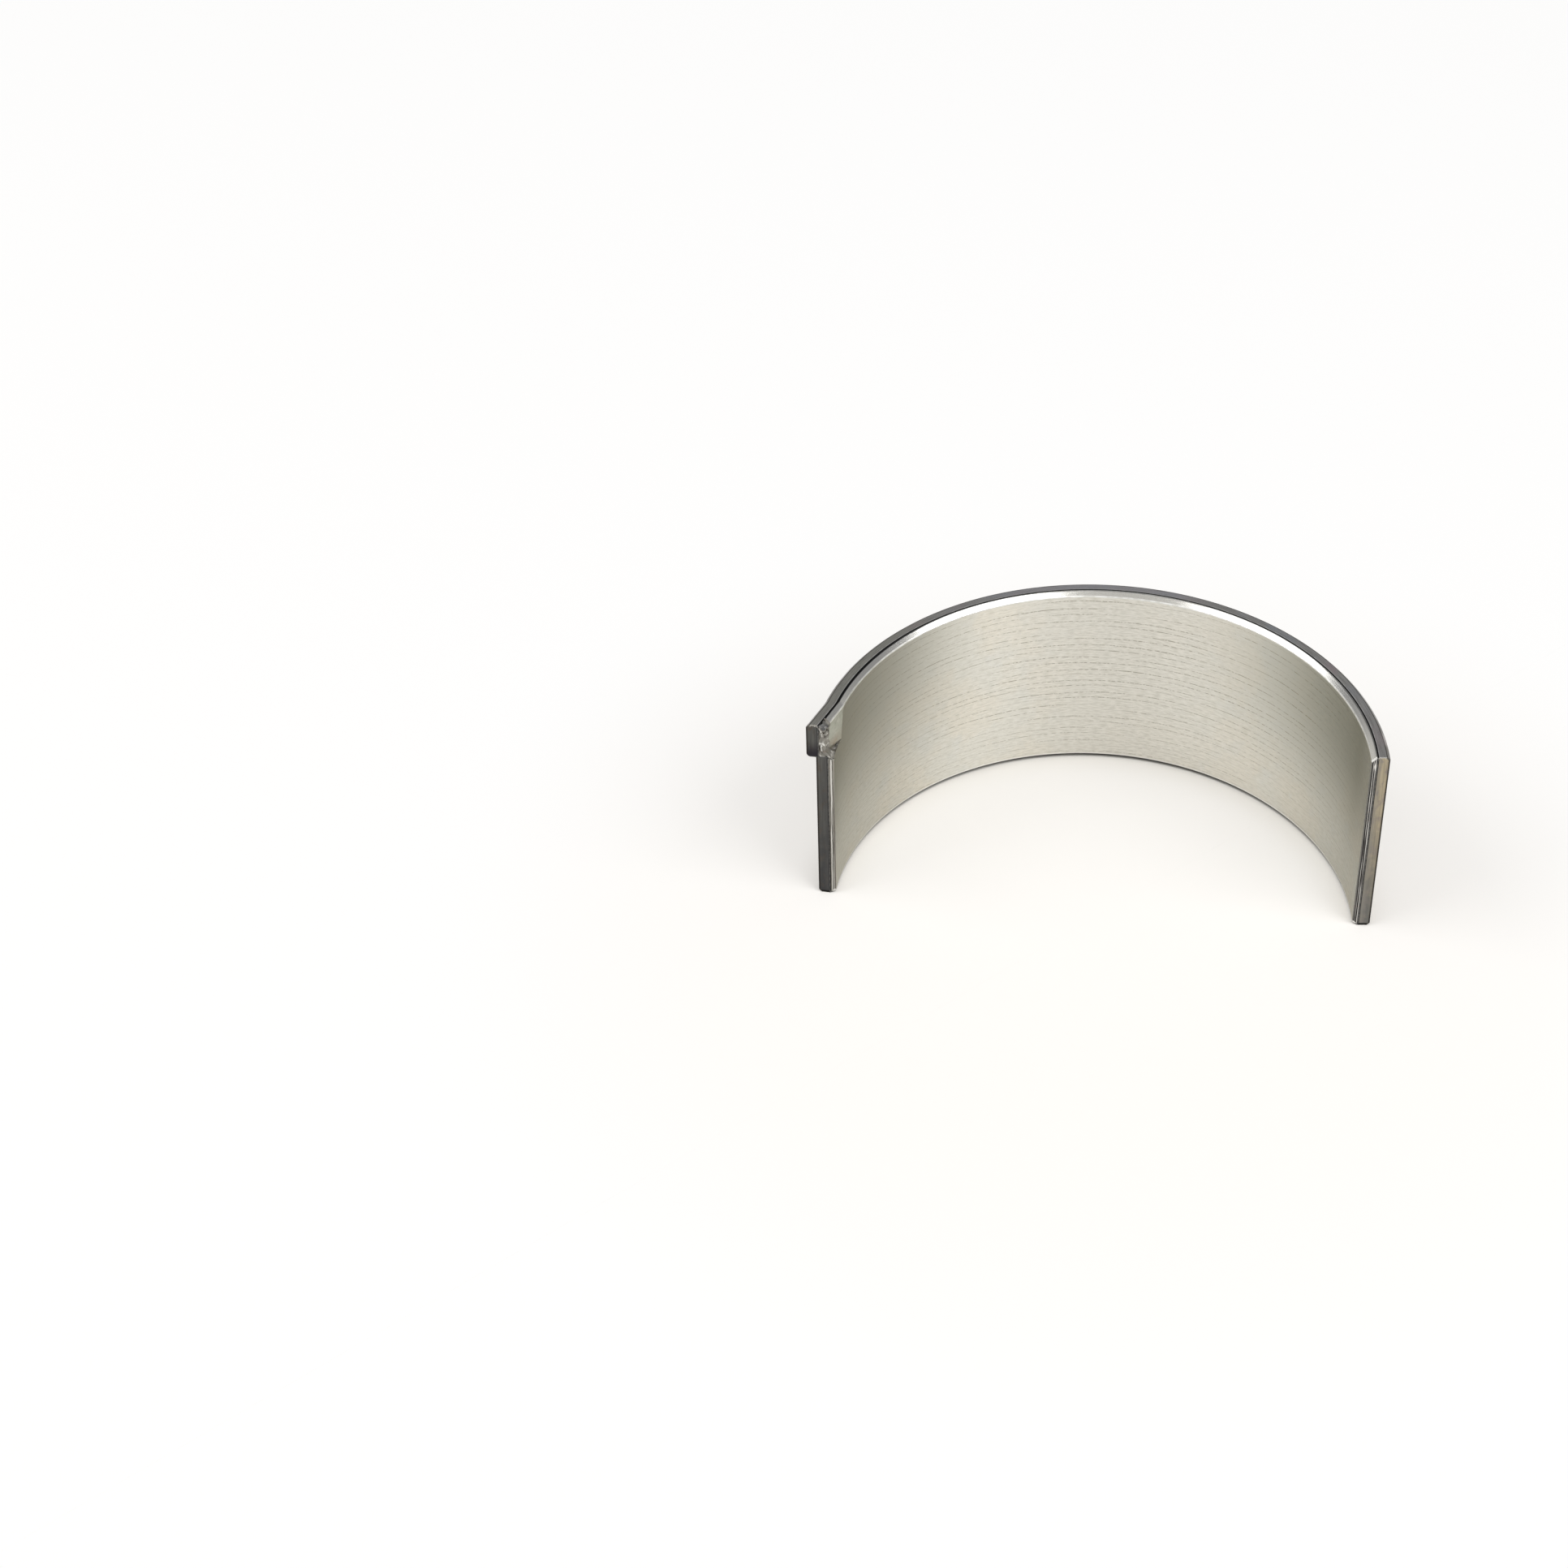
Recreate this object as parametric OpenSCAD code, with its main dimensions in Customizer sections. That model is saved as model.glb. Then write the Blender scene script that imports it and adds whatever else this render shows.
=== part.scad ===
// Half shell of a plain engine bearing: a steel back with a bonded bearing lining and a
// pressed-out locating tang, standing on one end with its bore axis along Z.

/* [Shell] */
// Bore of the housing that the shell is pressed into
housing_d = 45; // [30:0.5:80]
// How far the arc of the back springs open, on diameter, out of the housing
spring_open = 1.85; // [0:0.05:4]
// Thickness of the whole wall, steel back and lining together
wall_t = 1.5; // [1.2:0.05:3]
// Thickness of the bearing lining on the inside of the steel back
lining_t = 0.5; // [0.3:0.05:0.8]
// Width of the shell along the bore axis
shell_w = 18.25; // [10:0.25:40]

/* [Edges] */
// Chamfer round both ends of the bore
bore_chamfer = 0.4; // [0.1:0.05:0.6]
// Chamfer round both ends of the back
back_chamfer = 0.25; // [0.05:0.05:0.4]
// Broken edge where each joint face meets the bore
joint_chamfer = 0.1; // [0.05:0.05:0.25]

/* [Locating tang] */
// Width of the tang, from the upper end of the shell down to its sheared flank
tang_w = 3.3; // [2:0.1:6]
// Length of the tang along the back, from its bend to the joint face
tang_l = 3.4; // [2:0.1:6]
// Height of the tang above the back, at the joint face
tang_h = 0.82; // [0.4:0.02:1.2]
// Rounding of the tang's lower outer corner
tang_corner_r = 0.3; // [0.1:0.05:0.5]

/* [Hidden] */
$fn = 180;

// Room that a cutting shape has beyond what it cuts, and that a cut shape runs on into it
cut_room = 1;

// Radii of the sprung shell
steel_t = wall_t - lining_t;
back_r = (housing_d + spring_open) / 2;
bore_r = back_r - wall_t;

// The back is as long as half the housing's circumference, so sprung open it is less than a half circle
arc_deg = 180 * housing_d / (2 * back_r);
tang_joint_deg = (180 + arc_deg) / 2;

// The tang's bend lies along a ray, from which the shell runs on to a joint face either way
tang_deg = tang_l / back_r * 180 / PI;
bend_ray_deg = tang_joint_deg - tang_deg;
plain_deg = arc_deg - tang_deg;
overrun_deg = cut_room / bore_r * 180 / PI;

// The sheared flank, and the slope that carries the tang straight from its bend to its full height
tang_z = shell_w - tang_w;
tip_r = back_r + tang_h;
flare_slope = (tip_r * cos(tang_deg) - back_r) / (tip_r * sin(tang_deg));

// Section of the whole wall, radius against height, with its four chamfers
module wall_section() {
    polygon([
        [bore_r, bore_chamfer],
        [bore_r + bore_chamfer, 0],
        [back_r - back_chamfer, 0],
        [back_r, back_chamfer],
        [back_r, shell_w - back_chamfer],
        [back_r - back_chamfer, shell_w],
        [bore_r + bore_chamfer, shell_w],
        [bore_r, shell_w - bore_chamfer]
    ]);
}

// What rounding a corner between +X and -Y takes away
module corner_rounding(r) {
    difference() {
        translate([-r, -cut_room]) square(r + cut_room);
        translate([-r, r]) circle(r);
    }
}

// Heights of the wall's section from one to another
module heights(from, to) {
    translate([bore_r, from]) square([wall_t, to - from]);
}

// One layer of the wall's section, from its depth under the back and its thickness
module wall_layer(depth, t) {
    intersection() {
        wall_section();
        translate([back_r - depth - t, 0]) square([t, shell_w]);
    }
}

// One layer of the ring beside the tang, up to the sheared flank
module flank_layer(depth, t) {
    intersection() {
        wall_layer(depth, t);
        heights(0, tang_z);
    }
}

// One layer of the tang, from the sheared flank up
module tang_layer(depth, t) {
    difference() {
        intersection() {
            wall_layer(depth, t);
            heights(tang_z, shell_w);
        }
        translate([back_r, tang_z]) corner_rounding(tang_corner_r);
    }
}

// Everything past a joint face that lies along +X, with the broken edge at the bore
module past_joint() {
    reach = tip_r + cut_room;
    inside_r = bore_r - cut_room;
    translate([0, 0, -cut_room])
        linear_extrude(shell_w + 2 * cut_room)
            polygon([
                [bore_r + joint_chamfer, 0],
                [reach, 0],
                [reach, reach],
                [inside_r, reach],
                [inside_r, -joint_chamfer - cut_room]
            ]);
}

// Ends its children at a joint face, an angle on from the bend's ray
module up_to_joint(deg) {
    difference() {
        union() children();
        rotate([0, 0, deg]) past_joint();
    }
}

// Carries a section straight on from the bend's ray, flaring outwards
module flare() {
    run = tip_r * sin(tang_deg) + cut_room;
    multmatrix([[1, flare_slope, 0, 0], [0, 1, 0, 0], [0, 0, 1, 0]])
        rotate([90, 0, 0])
            translate([0, 0, -run])
                linear_extrude(run)
                    children();
}

// One layer of the whole shell
module shell_layer(depth, t) {
    rotate([0, 0, bend_ray_deg]) {
        mirror([0, 1, 0])
            up_to_joint(plain_deg)
                rotate_extrude(angle = plain_deg + overrun_deg)
                    wall_layer(depth, t);
        up_to_joint(tang_deg) {
            rotate_extrude(angle = tang_deg + overrun_deg)
                flank_layer(depth, t);
            flare()
                tang_layer(depth, t);
        }
    }
}

// Steel back, with the outside of the tang
module steel_back() {
    color([0.40, 0.39, 0.38])
        shell_layer(0, steel_t);
}

// Bearing lining, with the pocket that the tang leaves in the bore
module bearing_lining() {
    color([0.76, 0.74, 0.70])
        shell_layer(steel_t, lining_t);
}

steel_back();
bearing_lining();
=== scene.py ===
"""Looks of a half bearing shell that stands on one end: a steel back, a bored lining and a locating tang.

Sizes are in millimetres until a mesh is made. A place on the wall is given by its run along the back from
the plain joint face, its height above the lower end and its share of the way across a layer, bore side first.
"""

import math

import bmesh
import bpy
import numpy as np
from mathutils import Matrix


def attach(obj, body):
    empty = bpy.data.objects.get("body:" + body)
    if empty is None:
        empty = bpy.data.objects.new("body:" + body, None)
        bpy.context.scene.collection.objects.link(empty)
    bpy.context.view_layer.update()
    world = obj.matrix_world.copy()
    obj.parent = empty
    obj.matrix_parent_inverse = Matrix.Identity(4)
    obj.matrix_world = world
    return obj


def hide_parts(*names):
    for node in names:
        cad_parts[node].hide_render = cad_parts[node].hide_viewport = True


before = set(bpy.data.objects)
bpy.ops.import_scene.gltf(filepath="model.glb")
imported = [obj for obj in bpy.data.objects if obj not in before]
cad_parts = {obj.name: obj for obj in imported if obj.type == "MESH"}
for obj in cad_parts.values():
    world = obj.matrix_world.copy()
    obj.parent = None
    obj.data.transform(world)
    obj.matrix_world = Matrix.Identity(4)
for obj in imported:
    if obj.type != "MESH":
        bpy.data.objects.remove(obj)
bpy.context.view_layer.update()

MM = 0.001

# The shell as the CAD has it
BACK_R = 23.425
BOND_R = 22.425
BORE_R = 21.925
WIDTH = 18.25
BORE_CHAMFER = 0.4
BACK_CHAMFER = 0.25
PLAIN_JOINT = math.radians(3.554)
BACK_RUN = BACK_R * (math.pi - 2 * PLAIN_JOINT)

# The tang: its bend, its rise at the joint face and its sheared flank
TANG_RUN = 3.4
TANG_RISE = 0.82
FLANK_Z = 14.95
TANG_CORNER_R = 0.3
TIP_R = BACK_R + TANG_RISE
TIP_ANGLE = TANG_RUN / BACK_R
FLARE_SLOPE = (TIP_R * math.cos(TIP_ANGLE) - BACK_R) / (TIP_R * math.sin(TIP_ANGLE))

# The pocket behind the tang: its back line leans, further from the joint face at the top
POCKET_RUN_TOP = 3.8
POCKET_RUN_LOW = 2.9

# Small broken edges: the lips at the bond, the chamfers' edges and the joint faces' edges
LIP_R = 0.05
EDGE_R = 0.02
JOINT_EDGE_BORE = 0.1
JOINT_EDGE_BOND = 0.04
JOINT_EDGE_BACK = 0.06

# Rows of the section: over an end up to a height, round an edge of a chamfer, round a lip and across the flank
END_ROWS = 12
END_TOP = 0.5
EDGE_ROWS = 4
LIP_ROWS = 6
FLANK_ROWS = 12

# Points nearer than this are welded, and edges sharper than this are shaded sharp
WELD = 1e-8
SHARP = math.radians(38)


def mix(a, b, t):
    """A straight mix from a to b."""
    return a + (b - a) * t


def eased(x, low, high):
    """0 below low, 1 above high, and the curve 3t^2 - 2t^3 between."""
    t = np.clip((x - low) / (high - low), 0, 1)
    return t * t * (3 - 2 * t)


def speckle(a, b, seed):
    """A repeatable number from 0 to 1 for each whole pair: the fraction of a large multiple of a sine."""
    v = np.sin(a * 127.1 + b * 311.7 + seed * 74.7) * 43758.5453
    return v - np.floor(v)


def grain(a, b, seed):
    """Value noise from -1 to 1: speckle at the corners of unit cells, eased across each cell both ways."""
    a, b = np.broadcast_arrays(np.asarray(a, float), np.asarray(b, float))
    ca, cb = np.floor(a), np.floor(b)
    ta, tb = eased(a - ca, 0, 1), eased(b - cb, 0, 1)
    low = mix(speckle(ca, cb, seed), speckle(ca + 1, cb, seed), ta)
    high = mix(speckle(ca, cb + 1, seed), speckle(ca + 1, cb + 1, seed), ta)
    return 2 * mix(low, high, tb) - 1


def rough(a, b, seed):
    """Three sizes of grain, each half as large and half as strong as the one before."""
    return (grain(a, b, seed) + grain(2 * a, 2 * b, seed + 1) / 2 + grain(4 * a, 4 * b, seed + 2) / 4) / 1.75


def stations():
    """Runs at which the section is set down: close at both joint faces and over the tang, wide between."""
    joint = np.concatenate([np.linspace(0, 0.1, 8), np.linspace(0.13, 0.5, 9)])
    tang = np.linspace(0.56, 4.6, 66)
    start = np.concatenate([joint, np.linspace(0.6, 1.6, 6)])
    main = np.linspace(2.0, BACK_RUN - 4.9, 124)
    return np.concatenate([start, main, BACK_RUN - tang[::-1], BACK_RUN - joint[::-1]])


def flare(past, soften):
    """Share of its radius by which a straight flare stands off the round, from the run past its bend.

    On the ray at angle a past the bend, a straight line of slope s lies at 1 / (cos a - s sin a) of the radius.
    The run is eased from nothing over a short parabola on both sides of the bend.
    """
    run = np.where(past > soften, past, np.clip(past + soften, 0, 2 * soften) ** 2 / (4 * soften))
    a = run / BACK_R
    return 1 / (np.cos(a) - FLARE_SLOPE * np.sin(a)) - 1


def rounded(corner, back, on, r, count):
    """A corner's rounding: the parabola from r along the side towards back to r along the side towards on."""
    corner, back, on = (np.array(p, float) for p in (corner, back, on))
    a = corner + (back - corner) / np.linalg.norm(back - corner) * r
    b = corner + (on - corner) / np.linalg.norm(on - corner) * r
    t = np.linspace(0, 1, count)[:, None]
    return (1 - t) ** 2 * a + 2 * t * (1 - t) * corner + t * t * b


def chamfered_end(flat_r, face_r, chamfer):
    """Radii and heights of the rows from the lower end over a chamfer to a face, with both edges rounded."""
    low = (face_r + math.copysign(chamfer, flat_r - face_r), 0)
    high, top = (face_r, chamfer), (face_r, END_TOP)
    first = rounded(low, (flat_r, 0), high, EDGE_R, EDGE_ROWS)
    last = rounded(high, low, top, EDGE_R, EDGE_ROWS)
    between = mix(first[-1], last[0], np.linspace(0, 1, END_ROWS - 2 * EDGE_ROWS + 1)[1:-1, None])
    return np.concatenate([first, between, last, [top]])


def lipped_end(flat_r, face_r):
    """Radii and heights of the rows from the lower end round a small lip to a face."""
    lip = rounded((face_r, 0), (flat_r, 0), (face_r, 1), LIP_R, LIP_ROWS)
    rise = np.linspace(LIP_R, END_TOP, END_ROWS - LIP_ROWS + 1)[1:]
    return np.concatenate([lip, np.stack([np.full_like(rise, face_r), rise], 1)])


def section_line(run, end, face_r, low_z, high_z, gain, flank_r, flank_z):
    """Radius and height of one face of a layer, at each station and row, from the lower end to the upper.

    The rows climb over the lower end, up the plain wall, out across the flank and up the tang to the upper end,
    which is the lower end turned over. Rows of the tang lie at their radius times one plus the flare's gain.
    """
    n = len(run)
    top = end[::-1]
    tang_r = np.concatenate([np.full(len(high_z), face_r), top[:, 0]])
    tang_z = np.concatenate([high_z, WIDTH - top[:, 1]])
    wall_r = np.concatenate([end[:, 0], np.full(len(low_z), face_r)])
    wall_z = np.concatenate([end[:, 1], low_z])
    r = np.concatenate([np.tile(wall_r, (n, 1)), flank_r, tang_r * (1 + gain)], 1)
    z = np.concatenate([np.tile(wall_z, (n, 1)), flank_z, np.tile(tang_z, (n, 1))], 1)
    return r, z


def broken_edge(gone, r):
    """How far a rounded edge of radius r draws in, at a distance from the face that it ends in."""
    short = np.clip(r - gone, 0, r)
    return r - np.sqrt(r * r - short * short)


def wall_block(name, run, inner, outer, across, recess, zones):
    """A closed layer of the wall: the outside of a block of stations, rows and places across.

    A point lies on the straight line from the inner to the outer face of its station and row, at its share
    across. Its run is drawn back from a joint face by the recess there, less and less along the wall.
    Each face of the block is a grid of quads, and the grids share the points of their common edges.
    """
    n, rows, cols = len(run), inner[0].shape[1], len(across)
    i, k, w = np.meshgrid(np.arange(n), np.arange(rows), np.arange(cols), indexing="ij")
    codes = (i * rows + k) * cols + w

    def quads(grid, flip):
        """The corners of a grid's quads, turned over where asked, so that they face outwards."""
        a, b, c, d = grid[:-1, :-1], grid[1:, :-1], grid[1:, 1:], grid[:-1, 1:]
        found = np.stack([a, b, c, d] if not flip else [d, c, b, a], -1)
        return found.reshape(-1, 4)

    sheets = {
        "inner": (codes[:, :, 0], True),
        "outer": (codes[:, :, -1], False),
        "lower": (codes[:, 0, :], False),
        "upper": (codes[:, -1, :], True),
        "plain_joint": (codes[0], True),
        "tang_joint": (codes[-1], False),
    }
    faces = {s: quads(*g) for s, g in sheets.items()}
    quad = np.concatenate(list(faces.values()))
    used, quad = np.unique(quad, return_inverse=True)
    quad = quad.reshape(-1, 4)
    i, k, w = used // (rows * cols), used // cols % rows, used % cols
    share = across[w]
    r = mix(inner[0][i, k], outer[0][i, k], share)
    z = mix(inner[1][i, k], outer[1][i, k], share)
    at = run[i]
    tear = recess(at, z, share)
    angle = PLAIN_JOINT + (at + tear[0]) / BACK_R
    places = np.stack([r * np.cos(angle), r * np.sin(angle), z], 1) * MM

    mesh = bpy.data.meshes.new(name)
    mesh.from_pydata(places, [], quad)
    lay = np.stack([at, z, share], 1)
    mesh.attributes.new("lay", "FLOAT_VECTOR", "POINT").data.foreach_set("vector", lay.ravel())
    mesh.attributes.new("tear", "FLOAT", "POINT").data.foreach_set("value", tear[1])
    edge = edges_of(at, k, rows, share)
    mesh.attributes.new("edge", "FLOAT", "POINT").data.foreach_set("value", edge)
    kinds = np.concatenate([zones(s, *middle(f, rows, cols, run, inner)) for s, f in faces.items()])
    mesh.polygons.foreach_set("material_index", kinds.astype(np.int32))
    welded = bmesh.new()
    welded.from_mesh(mesh)
    bmesh.ops.remove_doubles(welded, verts=welded.verts, dist=WELD)
    welded.to_mesh(mesh)
    welded.free()
    mesh.polygons.foreach_set("use_smooth", np.ones(len(mesh.polygons), bool))
    mesh.set_sharp_from_angle(angle=SHARP)
    piece = bpy.data.objects.new(name, mesh)
    bpy.context.scene.collection.objects.link(piece)
    return piece


def middle(quad, rows, cols, run, inner):
    """Mean run, highest row and mean height of each quad, for choosing its finish."""
    i, k = quad // (rows * cols), quad // cols % rows
    return run[i].mean(1), k.max(1), inner[1][i, k].mean(1)


def edges_of(at, k, rows, share):
    """1 on the rows that round an edge, at the borders across and beside the joint faces, and 0 elsewhere."""
    from_end = np.minimum(k, rows - 1 - k)
    side = (share < 0.03) | (share > 0.97)
    lip = np.where((from_end < EDGE_ROWS) & side, 1.0, 0.0)
    chamfer = np.where((from_end >= END_ROWS - 1 - EDGE_ROWS) & (from_end < END_ROWS - 1), 1.0, 0.0)
    joint = eased(-np.minimum(at, BACK_RUN - at), -0.12, -0.02)
    return np.maximum(np.maximum(lip, chamfer), joint)


# Stations along the wall, with their runs past the tang's bend and from its joint face
RUN = stations()
PAST_BEND = (RUN - (BACK_RUN - TANG_RUN))[:, None]
FROM_JOINT = (BACK_RUN - RUN)[:, None]
ACROSS_FLANK = np.linspace(0, 1, FLANK_ROWS)

# How far to each side its bend is softened: the back's, the bond's and the pocket's
BACK_SOFT = 0.25
BOND_SOFT = 0.2
POCKET_SOFT = 0.12
BOND_GAIN = flare(PAST_BEND, BOND_SOFT)

# Heights of the lining's rows up the wall, closer near the flank, and up the tang
LINING_LOW_Z = np.concatenate([np.linspace(END_TOP, 13.8, 93)[1:], np.linspace(13.87, FLANK_Z, 17)])
LINING_HIGH_Z = np.linspace(FLANK_Z + 0.5, WIDTH - END_TOP, 34)[:-1]

# First rows of the lining's web at the flank, of its tang and of its upper end
WEB_ROW = END_ROWS + len(LINING_LOW_Z)
TANG_ROW = WEB_ROW + FLANK_ROWS
UPPER_ROW = TANG_ROW + len(LINING_HIGH_Z)


def plain_flank(face_r, gain):
    """Rows of a level flank: straight out from a face to where the flare has carried it."""
    r = face_r * (1 + gain * ACROSS_FLANK)
    return r, np.full_like(r, FLANK_Z)


def rounded_flank(face_r, gain):
    """Rows of the tang's underside: straight out, then a quarter round up to the tang's outside."""
    rise = face_r * gain
    corner = np.minimum(TANG_CORNER_R, 0.6 * rise)
    turn = np.clip(2 * ACROSS_FLANK - 1, 0, 1) * math.pi / 2
    r = face_r + (rise - corner) * np.clip(2 * ACROSS_FLANK, 0, 1) + corner * np.sin(turn)
    return r, FLANK_Z + corner * (1 - np.cos(turn))


def steel_lines():
    """Inner and outer face of the steel back, with its joint edges broken."""
    low_z = np.linspace(END_TOP, FLANK_Z, 50)[1:]
    high_z = np.linspace(FLANK_Z + 0.4, WIDTH - END_TOP, 22)[:-1]
    flat_r = (BACK_R + BOND_R) / 2
    gain = flare(PAST_BEND, BACK_SOFT)
    out = section_line(RUN, chamfered_end(flat_r, BACK_R, BACK_CHAMFER), BACK_R, low_z, high_z, gain,
                       *rounded_flank(BACK_R, gain))
    within = section_line(RUN, lipped_end(flat_r, BOND_R), BOND_R, low_z, high_z, BOND_GAIN,
                          *plain_flank(BOND_R, BOND_GAIN))
    return drawn_in(within, JOINT_EDGE_BOND, 1), drawn_in(out, JOINT_EDGE_BACK, -1)


def drawn_in(line, r, side):
    """Moves a face into its layer beside both joint faces by a broken edge, and its ends towards the middle."""
    gone = np.minimum(RUN, BACK_RUN - RUN)[:, None]
    by = broken_edge(gone, r)
    return line[0] + side * by, WIDTH / 2 + (line[1] - WIDTH / 2) * (1 - 2 * by / WIDTH)


def torn_front(z):
    """How far in from the tang's joint face the pocket's floor is torn, at a height: a wandering edge."""
    return 0.7 + 0.22 * grain(z / 0.55, 0.5, 7)


def lumps(gone, z):
    """Lumps of torn lining, from -1 to 1, by the distance from the joint face and the height."""
    return rough(gone / 0.24, z / 0.26, 11)


def lining_lines():
    """Inner and outer face of the lining: the bore with its pocket, and the bond.

    The pocket's floor flares from a leaning bend to the same rise at the joint face, where it is torn to lumps
    behind a raised crest. From the bore's edge a web of smear climbs to the floor as the square of its share
    across, higher and lumpier towards the joint face, where it also sags below the flank.
    """
    flat_r = BOND_R - LIP_R
    end = chamfered_end(flat_r, BORE_R, BORE_CHAMFER)
    heights = np.concatenate([LINING_HIGH_Z, WIDTH - end[::-1, 1]])
    full = flare(np.array(TANG_RUN), POCKET_SOFT)
    lean = pocket_run(heights)
    gain = flare(lean - FROM_JOINT, POCKET_SOFT) * full / flare(lean, POCKET_SOFT)
    torn = eased(torn_front(heights) - FROM_JOINT, -0.05, 0.3)
    crest = np.exp(-(((torn_front(heights) - FROM_JOINT - 0.06) / 0.11) ** 2))
    gain = gain + (0.13 * torn * lumps(FROM_JOINT, heights) - 0.09 * crest) / BORE_R
    low = np.array(POCKET_RUN_LOW)
    rise = BORE_R * flare(low - FROM_JOINT, POCKET_SOFT) * full / flare(low, POCKET_SOFT)
    web_r = BORE_R + rise * ACROSS_FLANK
    climb = 0.06 + (0.36 + 0.5 * eased(-FROM_JOINT, -1.4, -0.1)) * ACROSS_FLANK ** 2
    ragged = 0.22 * rough(FROM_JOINT / 0.3, ACROSS_FLANK * 3, 5) * np.sin(math.pi * ACROSS_FLANK)
    web_z = FLANK_Z + rise * (climb + ragged)
    bore = section_line(RUN, end, BORE_R, LINING_LOW_Z, LINING_HIGH_Z, gain, web_r, web_z)
    bond = section_line(RUN, lipped_end(BORE_R, BOND_R), BOND_R, LINING_LOW_Z, LINING_HIGH_Z, BOND_GAIN,
                        *plain_flank(BOND_R, BOND_GAIN))
    bore, bond = drawn_in(bore, JOINT_EDGE_BORE, 1), drawn_in(bond, JOINT_EDGE_BOND, -1)
    return (bore[0], bore[1] - chip(bore[1], 0.12) - sag(bore[1])), (bond[0], bond[1] - chip(bond[1], 0.5))


def pocket_run(z):
    """How far from the joint face the pocket's floor bends, at a height."""
    return mix(POCKET_RUN_LOW, POCKET_RUN_TOP, (z - FLANK_Z) / (WIDTH - FLANK_Z))


def chip(z, depth):
    """How far the lining's upper corner has broken down beside the tang's joint face, with its depth there."""
    ragged = 1 + 0.35 * rough(FROM_JOINT / 0.22, 0 * FROM_JOINT, 21)
    return depth * np.clip(1.05 - FROM_JOINT, 0, 1) ** 0.8 * ragged * eased(z, 16.6, 18.0)


def sag(z):
    """How far torn lining hangs down over the bore's edge beside the tang's joint face."""
    near = eased(-FROM_JOINT, -0.9, -0.1) * (1 + 0.5 * grain(FROM_JOINT / 0.3, 0.5, 23))
    return 0.24 * near * eased(z, 14.0, FLANK_Z) * (1 - eased(z, FLANK_Z + 0.1, FLANK_Z + 0.9))


def no_recess(at, z, share):
    """A clean joint face."""
    return np.zeros_like(at), np.zeros_like(at)


def ridge(share, centre, half):
    """A rounded ridge along the wall: 1 at its centre, falling off as a bell over its half width."""
    return np.exp(-(((share - centre) / half) ** 2))


def joint_lines(z, share, at_tang):
    """Lines that run down the lining's joint faces, from -1 on a bright crest to 1 in a deep tear.

    The plain face has two tears with a crest beside each, and a burr near its top. The face below the tang has
    one broad crest, between two tears high up and beside a tear and a thin crest low down. Each line sways a
    little and comes and goes along the wall.
    """
    sway = 0.05 * grain(z / 2.6, 9.0 * at_tang, 31) + 0.02 * grain(z / 0.7, 9.0 * at_tang + 3, 32)
    kept = [0.85 + 0.6 * grain(z / length, 5.0 * n + 0.5, 33) for n, length in enumerate((2.2, 1.3, 2.9, 1.7))]
    burr = ridge(z, 17.25, 0.3)
    plain = (ridge(share, 0.2 + sway, 0.08) * kept[0] + ridge(share, 0.56 + sway, 0.1) * kept[1] * (1 - burr)
             - ridge(share, 0.37 + sway, 0.07) * kept[2] - ridge(share, 0.8 + sway, 0.08) * kept[3]
             - 1.5 * burr * ridge(share, 0.7, 0.22))
    sway = sway + 0.05 * rough(z / 0.28, 0 * z, 35)
    high = (0.5 * ridge(share, 0.78 + sway, 0.1) * kept[0] + 0.7 * ridge(share, 0.16 + sway, 0.06) * kept[1]
            - ridge(share, 0.42 + sway, 0.15) * (kept[2] + 0.35))
    low = (ridge(share, 0.29 + sway, 0.07) * (kept[0] + 0.3) + 0.8 * ridge(share, 0.96, 0.06)
           - ridge(share, 0.55 + sway, 0.15) * kept[2] - ridge(share, 0.14 + sway, 0.06) * kept[3])
    tang = mix(low, high, eased(z, 6.0, 9.5))
    return np.clip(np.where(at_tang, tang, plain), -1, 1)


def torn_recess(at, z, share):
    """How far the lining's joint faces are torn back, and how deep or raised each place is.

    A clean face follows its lines, and the tang's is torn to lumps. The recess fades as the square of the
    distance left to a third of a millimetre from the joint face, or half a millimetre at the tang.
    """
    gone = np.minimum(at, BACK_RUN - at)
    at_tang = at > BACK_RUN / 2
    tang = at_tang & (z > FLANK_Z - 0.25)
    lines = joint_lines(z, share, at_tang)
    fine = rough(z / 0.3, share * 3 + 9 * at_tang, 37)
    clean = 0.03 + 0.08 * np.clip(lines, 0, 1) + 0.02 * fine
    wild = 0.13 + 0.11 * rough(z / 0.3, share * 2.1, 41)
    depth = np.clip(np.where(tang, wild, clean), 0, None)
    fade = np.clip(1 - gone / np.where(tang, 0.5, 0.3), 0, 1) ** 2
    end = eased(-gone, -0.1, -0.02)
    deep = mix(1.3 * lumps(gone, z), (wild - 0.14) / 0.09, end)
    return np.where(at_tang, -1, 1) * depth * fade, np.clip(np.where(tang, deep, lines), -1, 1)


# Places across each layer, from its bore side
ACROSS_STEEL = np.array([0, 0.02, 0.06, 0.15, 0.3, 0.5, 0.7, 0.85, 0.94, 0.98, 1])
ACROSS_LINING = np.linspace(0, 1, 25)

# Finishes of the faces, as places in each piece's list of materials
BACK, STEEL_END, TANG_JOINT, PLAIN_JOINT_FACE, BOND_FACE = range(5)
BORE, LINING_END, TORN, BARE, POCKET = range(5)


# How far up the turned finish reaches from an end of the back, and along the chip in the lining's corner
TURNED_REACH = 0.28
CHIP_REACH = 1.15


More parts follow.
